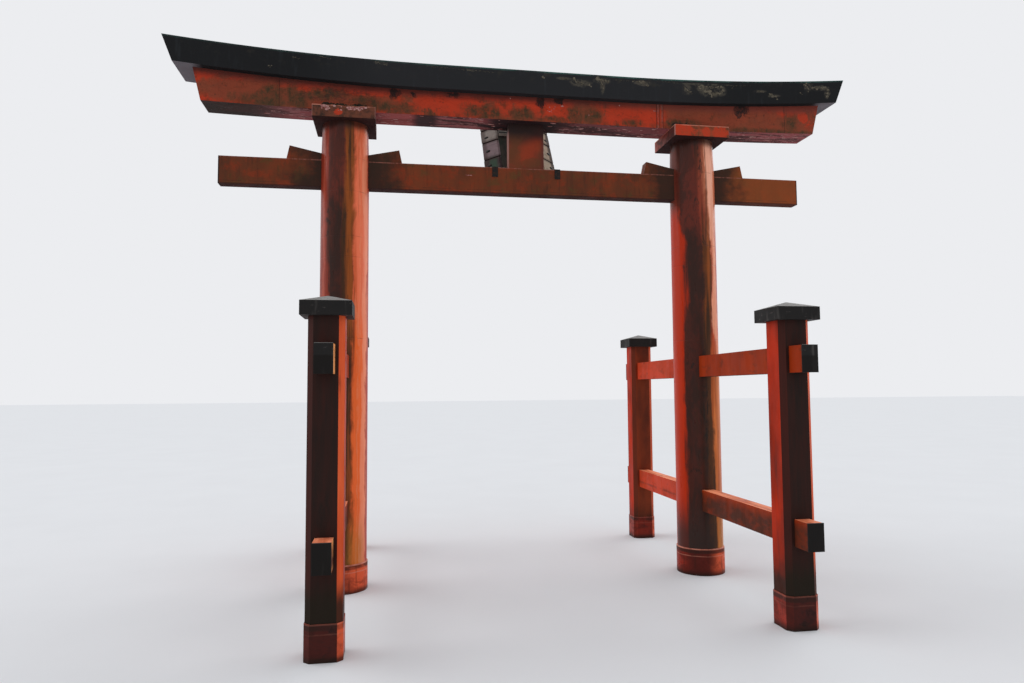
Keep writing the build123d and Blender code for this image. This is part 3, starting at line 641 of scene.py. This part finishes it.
def cap_black():
    """Black caps with faint grey runs and pale weathered tops."""
    f = Finish("cap_black")
    run = f.noise(12, 0.16, 4, detail=6)
    tone = f.noise(3, 1, 2, detail=5)
    scratch = f.noise(40, (0.3, 0.3, 1), 6, detail=3)
    f.paint = f.mix(tone, (28, 27, 27), (42, 40, 39))
    f.lay((84, 80, 78), f.step(run, 0.56, 0.72), 0.5)
    high = f.step(f.z, 3.6, 3.64)
    f.lay((120, 112, 108), f.step(scratch, 0.66, 0.74), high, 0.4)
    f.lay(f.mix(run, (170, 168, 166), (112, 110, 108)), f.step(f.nz, 0.5, 0.8))
    f.lay(f.mix(tone, (20, 18, 17), (30, 26, 24)), f.step(high, 1, 0, 0, 0.85))
    rough = f.step(tone, 0.3, 0.7, 0.5, 0.7)
    return f.done(rough, f.add(run, tone), 0.003)


def iron_black():
    """Blackened iron with a little rust."""
    f = Finish("iron_black", specular=0.15)
    pit = f.noise(30, 1, 2, detail=6)
    f.paint = f.mix(f.step(pit, 0.5, 0.7), (26, 26, 26), (64, 44, 34))
    return f.done(f.step(pit, 0.3, 0.7, 0.45, 0.75), pit)


def board_dark():
    """Bare dark board, upright grain with moss in places."""
    f = Finish("board_dark")
    grain = f.noise(16, (1, 0.6, 0.07), 4, detail=6, warp=0.3)
    f.paint = f.mix(grain, (46, 46, 42), (84, 78, 70))
    moss = f.step(f.noise(3, 0.6, 7, detail=6), 0.48, 0.62)
    f.lay((34, 48, 40), moss, 0.65)
    shade = f.step(f.z, 7.8, 7.95)
    f.lay((40, 38, 38), shade, 0.6)
    return f.done(0.7, grain, 0.003)


def batten_wood():
    """Battens behind the plaque: dark faces between two pale arrises."""
    f = Finish("batten_wood")
    grain = f.noise(20, (0.2, 1, 1), 4, detail=5)
    up = f.plus(f.times(f.add(f.y, -SEAT_Y), math.sin(LEAN)), f.add(f.z, -SEAT_Z), math.cos(LEAN))
    middle = f.near(up, UPPER_BATTEN_MIDDLE, 0.03, 0.008)
    f.paint = f.mix(grain, (196, 190, 178), (150, 144, 134))
    f.lay((42, 38, 38), middle, 0.95)
    return f.done(0.7, grain, 0.003)


def plaque_grey():
    """Silvered timber of the plaque's border: greyer at its left, cream at its right, moss at its foot, with
    painted shade beside the joints and along the outer rim.
    """
    f = Finish("plaque_grey")
    grain = f.noise(20, (0.3, 0.3, 1.2), 4, detail=6, warp=0.3)
    tone = f.noise(3, 1, 2, detail=5)
    left = f.mix(grain, (158, 137, 140), (108, 92, 96))
    pale = f.mix(grain, (166, 156, 148), (124, 114, 108))
    right = f.mix(grain, (208, 188, 162), (164, 144, 124))
    high = f.step(f.swayed(f.z, tone, 0.25), 7.74, 7.86)
    f.paint = f.mix(high, left, pale)
    f.lay(right, f.step(f.x, -0.1, 0.1))
    foot = f.step(f.swayed(f.z, tone, 0.1), 7.5, 7.36)
    f.lay((52, 38, 38), foot, f.step(f.x, 0.1, -0.1), 0.9)
    moss = f.times(foot, f.near(f.swayed(f.x, tone, 0.1), -0.5, 0.03, 0.06))
    f.lay((58, 82, 66), moss, 0.85)
    # Darker beside the joints between the boards: painted shade
    across = f.swayed(f.plus(f.times(f.y, JOINT_NORMAL.y), f.z, JOINT_NORMAL.z), tone, 0.04)
    levels = [on_plaque(0, rise, BORDER_DEPTH).dot(JOINT_NORMAL) for rise in JOINT_RISES]
    joint_shade = f.most(*[f.near(across, level, 0.02, 0.06) for level in levels])
    f.lay((70, 54, 48), joint_shade, 0.55)
    # Darker along the border's outer rim: painted shade
    out = f.plus(f.times(f.add(f.y, -SEAT_Y), math.cos(LEAN)), f.add(f.z, -SEAT_Z), -math.sin(LEAN))
    rim = f.step(f.swayed(out, tone, 0.05), BORDER_DEPTH - 0.075, BORDER_DEPTH - 0.04)
    f.lay((64, 50, 46), rim, f.step(f.x, -0.1, 0.1, 0.6, 0.9))
    worn = f.step(f.noise(9, 0.7, 5, detail=6), 0.56, 0.68)
    f.lay((84, 74, 66), worn, 0.45)
    return f.done(0.68, grain, 0.004)


def gap_shadow_paint():
    """A dark sheet behind the border's boards, which shows in the joints as painted shadow."""
    f = Finish("gap_shadow_paint", specular=0.05)
    f.paint = f.mix(f.noise(20), (22, 14, 14), (38, 24, 24))
    return f.done(0.9)


def stage_paint():
    """Pale floor: the colour that the background has."""
    f = Finish("floor_pale", specular=0)
    tone = f.noise(0.6, 1, 1, detail=3)
    f.paint = f.mix(tone, (232, 233, 236), (237, 238, 241))
    return f.done(0.9)


beam, cap, iron, sleeve = beam_paint(), cap_black(), iron_black(), sleeve_paint()
border_wood = plaque_grey()

# Paints by the ends of the nodes' names; the longest ending that fits counts
paint_of = {
    "main_pillar": pillar_paint(),
    "pillar_sleeve": sleeve,
    "pillar_plate": plate_paint(),
    "tie_beam": beam,
    "wedge": beam,
    "lower_lintel": lintel_paint(),
    "upper_lintel": roof_black(),
    "centre_strut": strut_paint(),
    "plaque_board": board_dark(),
    "plaque_frame": border_wood,
    "batten": batten_wood(),
    "bracket": iron,
    "plaque_stays": iron,
    "post_sleeve": sleeve,
    "post_cap": cap,
    "post": post_paint(),
    "side_tie": tie_paint(),
    "tie_plate": cap,
}
for name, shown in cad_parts.items():
    ending = next(key for key in sorted(paint_of, key=len, reverse=True) if name.endswith(key))
    shown.data.materials.clear()
    shown.data.materials.append(paint_of[ending])

# Sections of the plaque's border: margin outside the board, and distance out from the board's back
BOARD_EDGE = 0.035
INNER_GROWTH = BORDER_SPLAY * BOARD_EDGE / BORDER_DEPTH
BORDER_SECTION = (
    (0.0005, 0.0), (0.0005, BOARD_EDGE), (INNER_GROWTH, BOARD_EDGE), (BORDER_SPLAY, BORDER_DEPTH),
    (BORDER_SPLAY + BORDER_THICKNESS, BORDER_DEPTH), (BORDER_THICKNESS, 0.0),
)
# The dark sheet behind the boards, in the same columns: it shows in the joints as painted shadow
GAP_SHADOW_SECTION = ((0.008, 0.003), (0.039, 0.003), (0.28, 0.188), (0.252, 0.188))

# How far the boards' edges are eased, how far out the joints' planes are set, and the boards' unevenness
BOARD_EASE = 0.0025
JOINT_ACROSS = 0.15
JOINT_SKEW = 0.04
BOARD_SHIFT = 0.006


def keep_side(mesh, place, normal):
    """Cuts a bmesh by a plane, drops what lies along the normal and closes the cut."""
    geometry = mesh.verts[:] + mesh.edges[:] + mesh.faces[:]
    cut = bmesh.ops.bisect_plane(mesh, geom=geometry, plane_co=place, plane_no=normal, clear_outer=True)
    edges = [e for e in cut["geom_cut"] if isinstance(e, bmesh.types.BMEdge)]
    bmesh.ops.edgeloop_fill(mesh, edges=edges)


def finished_piece(name, mesh, paint, smooth=False):
    """Turns a bmesh into a piece that rides on the gate."""
    bmesh.ops.recalc_face_normals(mesh, faces=mesh.faces[:])
    data = bpy.data.meshes.new(name)
    mesh.to_mesh(data)
    mesh.free()
    if smooth:
        data.polygons.foreach_set("use_smooth", [True] * len(data.polygons))
    data.materials.append(paint)
    made = bpy.data.objects.new(name, data)
    bpy.context.scene.collection.objects.link(made)
    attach(made, "root")
    return made


def add_prism(mesh, first, last):
    """Adds a closed body between two outlines with the same number of points."""
    near_end = [mesh.verts.new(point) for point in first]
    far_end = [mesh.verts.new(point) for point in last]
    mesh.faces.new(near_end)
    mesh.faces.new(reversed(far_end))
    for index in range(len(first)):
        after = (index + 1) % len(first)
        mesh.faces.new((near_end[after], near_end[index], far_end[index], far_end[after]))


def upright_board(mesh, side, section, shift=0.0):
    """A mitred upright of the border over its whole height."""
    reach = [(side * (BOARD_HALF + margin - shift), margin, out) for margin, out in section]
    foot = [on_plaque(across, -margin, out) for across, margin, out in reach]
    head = [on_plaque(across, BOARD_RISE + margin, out) for across, margin, out in reach]
    add_prism(mesh, foot, head)


def cross_board(mesh, head, section):
    """A mitred head or foot of the border over its whole width."""
    rows = [(BOARD_HALF + margin, BOARD_RISE + margin if head else -margin, out) for margin, out in section]
    add_prism(mesh, [on_plaque(-across, up, out) for across, up, out in rows],
              [on_plaque(across, up, out) for across, up, out in rows])


def join_board(whole, board):
    """Eases a board's edges and adds it to the whole border."""
    bmesh.ops.recalc_face_normals(board, faces=board.faces[:])
    bmesh.ops.bevel(board, geom=board.edges[:], offset=BOARD_EASE, segments=1, affect="EDGES")
    held = bpy.data.meshes.new("board_part")
    board.to_mesh(held)
    whole.from_mesh(held)
    bpy.data.meshes.remove(held)
    board.free()


draw = random.Random(11)
border = bmesh.new()
gap_shadow_sheet = bmesh.new()
for side in (-1, 1):
    joints = []
    for rise in JOINT_RISES:
        normal = (JOINT_NORMAL + Vector((draw.uniform(-JOINT_SKEW, JOINT_SKEW), 0, 0))).normalized()
        joints.append((on_plaque(side * (BOARD_HALF + JOINT_ACROSS), rise, BORDER_DEPTH), normal))
    for low, high in zip([None] + joints, joints + [None]):
        board = bmesh.new()
        upright_board(board, side, BORDER_SECTION, -draw.uniform(0.0, BOARD_SHIFT))
        if low is not None:
            keep_side(board, low[0] + low[1] * JOINT_GAP / 2, -low[1])
        if high is not None:
            keep_side(board, high[0] - high[1] * JOINT_GAP / 2, high[1])
        join_board(border, board)
    upright_board(gap_shadow_sheet, side, GAP_SHADOW_SECTION)
for head in (False, True):
    board = bmesh.new()
    cross_board(board, head, BORDER_SECTION)
    join_board(border, board)
boards = finished_piece("plaque_border_boards", border, border_wood)
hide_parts("plaque_frame")
# The dark sheet behind the boards shows in the joints as painted shadow
finished_piece("plaque_joint_shadow_sheet", gap_shadow_sheet, gap_shadow_paint())

# Bolt heads, one to a board, standing on the border's outer faces
BOLT_RISES = (0.32, 0.74, 1.15)
BOLT_OUT = 0.126
BOLT_RADIUS = 0.032
BOLT_SHAPE = (1.6, 1, 0.5, 1)
bolts = bmesh.new()
face_length = math.hypot(BORDER_SPLAY, BORDER_DEPTH)
bolt_across = BOARD_HALF + (BORDER_THICKNESS + BORDER_SPLAY * BOLT_OUT / BORDER_DEPTH)
for side in (-1, 1):
    for rise in BOLT_RISES:
        place = on_plaque(side * bolt_across, rise, BOLT_OUT)
        lifted = on_plaque(
            side * (bolt_across + BORDER_DEPTH / face_length), rise, BOLT_OUT - BORDER_SPLAY / face_length)
        outward = (lifted - place).normalized()
        turn = outward.to_track_quat("Z", "Y").to_matrix().to_4x4()
        matrix = Matrix.Translation(place) @ turn @ Matrix.Diagonal(BOLT_SHAPE)
        bmesh.ops.create_icosphere(bolts, subdivisions=2, radius=BOLT_RADIUS, matrix=matrix)
finished_piece("plaque_border_bolts", bolts, iron, smooth=True)


def add_chip(mesh, place, outward, size, thick, draw, curl=0.0, long=1.0):
    """A thin ragged flake: its outline is irregular, its rim lies on the surface, its middle stands proud."""
    outward = Vector(outward).normalized()
    aside = outward.cross(Vector((0, 0, 1)))
    if aside.length < 0.1:
        aside = Vector((1, 0, 0))
    aside.normalize()
    upward = aside.cross(outward)
    count = draw.randint(7, 10)
    spin = draw.uniform(0, math.tau)
    rim_low, rim_high, inner = [], [], []
    for step in range(count):
        angle = spin + math.tau * step / count
        reach = size * draw.uniform(0.55, 1.0)
        flat = aside * (math.cos(angle) * reach * long) + upward * (math.sin(angle) * reach)
        lift = curl * max(0.0, math.sin(angle - spin)) * size
        base = Vector(place) + flat + outward * lift
        rim_low.append(mesh.verts.new(base - outward * 0.002))
        rim_high.append(mesh.verts.new(base + outward * thick * draw.uniform(0.3, 0.7)))
        proud = thick * draw.uniform(0.7, 1.2) + lift * 0.4
        inner.append(mesh.verts.new(Vector(place) + flat * 0.55 + outward * proud))
    top = mesh.verts.new(Vector(place) + outward * thick)
    bottom = mesh.verts.new(Vector(place) - outward * 0.003)
    for step in range(count):
        after = (step + 1) % count
        mesh.faces.new((rim_low[step], rim_low[after], rim_high[after], rim_high[step]))
        mesh.faces.new((rim_high[step], rim_high[after], inner[after], inner[step]))
        mesh.faces.new((inner[step], inner[after], top))
        mesh.faces.new((rim_low[after], rim_low[step], bottom))


def roof_rise(x):
    """How far the roof has risen at x."""
    return max(abs(x) - ROOF_LEVEL, 0.0) ** 2 * ROOF_CURVE


def lichen_paint():
    """Dry grey-brown lichen."""
    f = Finish("lichen_paint", specular=0.05)
    tone = f.noise(18, 1, 2, detail=6)
    fine = f.noise(90, 1, 5)
    f.paint = f.mix(f.step(tone, 0.38, 0.62), (106, 98, 84), (62, 58, 51))
    f.lay((142, 134, 120), f.step(fine, 0.5, 0.7), 0.5)
    return f.done(0.9, fine, 0.004)


def flake_paint():
    """Paint lifting off: chalky pink on top, darker where it has worn through."""
    f = Finish("flake_paint")
    tone = f.noise(20, 1, 3, detail=5)
    f.paint = f.mix(f.step(tone, 0.4, 0.62), (184, 140, 134), (140, 84, 80))
    return f.done(0.7, tone)


def debris_paint():
    """Black rotted litter and dirt that has gathered on a ledge."""
    f = Finish("debris_paint", specular=0.05)
    tone = f.noise(30, 1, 6, detail=6)
    f.paint = f.mix(f.step(tone, 0.4, 0.66), (30, 25, 22), (62, 52, 38))
    return f.done(0.95, tone, 0.006)


# Strokes of lichen on the roof's face: x and height above the roof's foot at each end, and width
LICHEN_STROKES = (
    (0.55, 0.3, 0.72, 0.31, 0.01), (0.78, 0.3, 0.93, 0.24, 0.03), (0.93, 0.24, 1.12, 0.21, 0.024),
    (1.19, 0.34, 1.42, 0.3, 0.03), (1.3, 0.29, 1.33, 0.13, 0.016), (1.84, 0.35, 1.98, 0.33, 0.016),
    (1.98, 0.33, 2.14, 0.29, 0.028), (2.8, 0.31, 2.86, 0.24, 0.022), (2.86, 0.24, 2.96, 0.16, 0.026),
    (3.1, 0.31, 3.2, 0.24, 0.034), (3.2, 0.24, 3.36, 0.14, 0.04), (3.36, 0.15, 3.5, 0.18, 0.036),
    (3.5, 0.29, 3.56, 0.2, 0.034), (3.15, 0.3, 3.5, 0.3, 0.016), (3.73, 0.3, 3.75, 0.28, 0.016),
    (4.2, 0.26, 4.34, 0.2, 0.02), (4.45, 0.2, 4.62, 0.09, 0.026), (5.17, 0.35, 5.25, 0.24, 0.03),
    (5.3, 0.3, 5.6, 0.27, 0.028), (5.62, 0.26, 5.6, 0.09, 0.03), (-3.95, 0.32, -3.8, 0.3, 0.012),
    (-3.5, 0.37, -3.3, 0.36, 0.01), (-2.58, 0.38, -2.52, 0.34, 0.016), (-2.45, 0.34, -2.38, 0.335, 0.012),
    (-1.75, 0.375, -1.1, 0.345, 0.008), (-1.06, 0.35, -1.0, 0.345, 0.018), (-0.95, 0.345, -0.6, 0.335, 0.009),
    (0.24, 0.31, 0.29, 0.29, 0.02), (-4.3, 0.11, -4.2, 0.13, 0.014), (2.3, 0.36, 2.75, 0.35, 0.007),
    (5.05, 0.2, 5.12, 0.15, 0.012), (1.55, 0.345, 1.8, 0.34, 0.008), (3.62, 0.33, 4.1, 0.33, 0.007),
)

# Distance between the chips of a stroke, the share that is left out, and the slopes' outer limit for crust
CHIP_STEP = 0.013
BARE_SHARE = 0.22
CRUST_REACH = 0.37
draw = random.Random(5)
crust = bmesh.new()
for face, mirror in ((-1, 1), (1, -1)):
    for x_1, height_1, x_2, height_2, width in LICHEN_STROKES:
        length = math.dist((x_1, height_1), (x_2, height_2))
        count = max(3, int(length / CHIP_STEP))
        for index in range(count):
            if draw.random() < BARE_SHARE:
                continue
            along = index / count
            x = mirror * (x_1 + (x_2 - x_1) * along) + draw.gauss(0, 0.35 * width)
            height = height_1 + (height_2 - height_1) * along + draw.gauss(0, 0.5 * width)
            height = min(height, ROOF_FACE - 0.03)
            place = (x, face * ROOF_HALF_DEPTH, ROOF_FOOT + roof_rise(x) + height)
            size = width * draw.uniform(0.35, 1.0)
            add_chip(crust, place, (0, face, 0), size, 0.005, draw, long=draw.uniform(0.7, 1.5))
for cluster in range(30):
    middle = draw.uniform(-5.6, 5.6)
    across = draw.uniform(-0.33, 0.33)
    spread = draw.uniform(0.02, 0.12)
    for chip in range(draw.randrange(3, 12)):
        x = middle + draw.gauss(0, spread)
        y = max(-CRUST_REACH, min(CRUST_REACH, across + draw.gauss(0, 0.5 * spread)))
        place = (x, y, ROOF_FOOT + roof_rise(x) + ROOF_FACE + ROOF_RIDGE - abs(y) * ROOF_SLOPE)
        tilt = ROOF_SLOPE if y > 0 else -ROOF_SLOPE
        add_chip(crust, place, (0, tilt, 1), draw.uniform(0.1, 0.4) * spread + 0.006, 0.006, draw, long=1.4)
finished_piece("roof_lichen", crust, lichen_paint())

# Flakes under the lintel: how many are tried, and how far they keep from the pillars' axes and the strut's
UNDERSIDE_FLAKES = 150
PLATE_CLEARANCE = 0.56
STRUT_CLEARANCE = 0.36

# Places on the lintel's front face where pale primer shows: x, z and spread
BARE_PLACES = (
    (0.44, 8.07, 0.05), (0.61, 8.12, 0.02), (-0.3, 8.22, 0.012), (1.66, 8.2, 0.01), (2.31, 8.15, 0.02),
    (1.1, 8.0, 0.012),
)

# Flakes along the left plate's upper edge: middle, spread and how many
PLATE_FLAKES = ((-3.39, 0.05, 16), (-2.9, 0.06, 16), (-3.15, 0.2, 14))
draw = random.Random(8)
flakes = bmesh.new()
for chip in range(UNDERSIDE_FLAKES):
    x = draw.uniform(-4.4, 5.2)
    if abs(abs(x) - PILLAR_X) < PLATE_CLEARANCE or abs(x) < STRUT_CLEARANCE:
        continue
    rise = max(abs(x) - LINTEL_LEVEL, 0.0) ** 2 * LINTEL_CURVE
    place = (x, draw.uniform(-0.25, 0.22), LINTEL_FOOT + rise)
    size = draw.uniform(0.006, 0.018)
    curl = draw.uniform(0.1, 0.4)
    add_chip(flakes, place, (0, 0, -1), size, 0.003, draw, curl=curl, long=draw.uniform(2.5, 5.0))
for x, z, spread in BARE_PLACES:
    for chip in range(1 + int(spread / 0.006)):
        place = (x + draw.gauss(0, spread), -LINTEL_HALF_DEPTH, z + draw.gauss(0, spread))
        size = draw.uniform(0.006, 0.013)
        add_chip(flakes, place, (0, -1, 0), size, 0.002, draw, long=draw.uniform(0.6, 1.3))
for middle, spread, count in PLATE_FLAKES:
    for chip in range(count):
        x = max(-3.57, min(-2.62, draw.gauss(middle, spread)))
        place = (x, -PLATE_HALF, LINTEL_FOOT - 0.016 - abs(draw.gauss(0, 0.026)))
        add_chip(flakes, place, (0, -1, 0), draw.uniform(0.008, 0.026), 0.004, draw, curl=0.15, long=1.5)
for chip in range(5):
    place = (-1.055 + 0.022 * chip, -0.1, 6.886 + draw.gauss(0, 0.002))
    add_chip(flakes, place, (0, -1, 0), draw.uniform(0.007, 0.011), 0.002, draw, long=1.8)
finished_piece("lifting_paint", flakes, flake_paint())

# Heaps of litter on the plates' ledges: middle, spread, how many bits, how large
LEDGE_HEAPS = (
    (-3.3, 0.07, 26, 1.0), (-3.08, 0.08, 22, 0.8), (-2.84, 0.05, 22, 1.0), (-2.98, 0.05, 8, 0.5),
    (2.8, 0.08, 16, 0.5),
)
draw = random.Random(21)
litter = bmesh.new()
for middle, spread, count, scale in LEDGE_HEAPS:
    for bit in range(count):
        x = max(middle - 2.2 * spread, min(middle + 2.2 * spread, draw.gauss(middle, spread)))
        place = (x, draw.uniform(-0.492, -0.45), LINTEL_FOOT)
        size = scale * draw.uniform(0.016, 0.034)
        add_chip(litter, place, (0, -0.2, 1), size, scale * draw.uniform(0.015, 0.042), draw, long=1.6)
finished_piece("ledge_dirt", litter, debris_paint())

# Floor, and a world with a pale backdrop for what the camera, mirrors and glass see
FLOOR_SIZE = 400
SKY_STRENGTH = 0.66
bpy.ops.mesh.primitive_plane_add(size=FLOOR_SIZE, location=(0, 0, 0))
floor = bpy.context.object
floor.name = "floor"
floor.data.materials.append(stage_paint())

world = bpy.data.worlds.new("studio")
bpy.context.scene.world = world
world.use_nodes = True
web = world.node_tree
web.nodes.clear()
path = web.nodes.new("ShaderNodeLightPath")
shown_rays = path.outputs["Is Camera Ray"]
for ray in ("Is Glossy Ray", "Is Transmission Ray"):
    both = web.nodes.new("ShaderNodeMath")
    both.operation = "MAXIMUM"
    web.links.new(shown_rays, both.inputs[0])
    web.links.new(path.outputs[ray], both.inputs[1])
    shown_rays = both.outputs[0]
light = web.nodes.new("ShaderNodeBackground")
light.inputs["Color"].default_value = (0.96, 0.98, 1.0, 1.0)
light.inputs["Strength"].default_value = SKY_STRENGTH
backdrop = web.nodes.new("ShaderNodeBackground")
backdrop.inputs["Color"].default_value = linear(236, 237, 240)
backdrop.inputs["Strength"].default_value = 1.0
blend = web.nodes.new("ShaderNodeMixShader")
output = web.nodes.new("ShaderNodeOutputWorld")
for source, target in zip((shown_rays, light.outputs[0], backdrop.outputs[0]), blend.inputs):
    web.links.new(source, target)
web.links.new(blend.outputs[0], output.inputs[0])


def soft_sun(name, place, strength, spread):
    """Even, soft light from the direction of place."""
    lamp = bpy.data.lights.new(name, "SUN")
    lamp.angle = math.radians(spread)
    lamp.energy = strength
    held = bpy.data.objects.new(name, lamp)
    bpy.context.scene.collection.objects.link(held)
    held.location = place
    held.rotation_euler = (-Vector(place)).to_track_quat("-Z", "Y").to_euler()


soft_sun("key_light", (-20, 6, 14), 0.9, 50)
soft_sun("rim_light", (20, 10, 14), 0.7, 50)

# Camera
camera_data = bpy.data.cameras.new("photo_camera")
camera_data.sensor_width = 36
camera_data.lens = CAMERA_LENS
camera_data.clip_end = 1000
camera = bpy.data.objects.new("photo_camera", camera_data)
bpy.context.scene.collection.objects.link(camera)
up = CAMERA_RIGHT.cross(CAMERA_FORWARD)
turn = Matrix((CAMERA_RIGHT, up, -CAMERA_FORWARD)).transposed()
camera.matrix_world = Matrix.Translation(CAMERA_PLACE) @ turn.to_4x4()
bpy.context.scene.camera = camera
bpy.context.scene.view_settings.view_transform = "Standard"
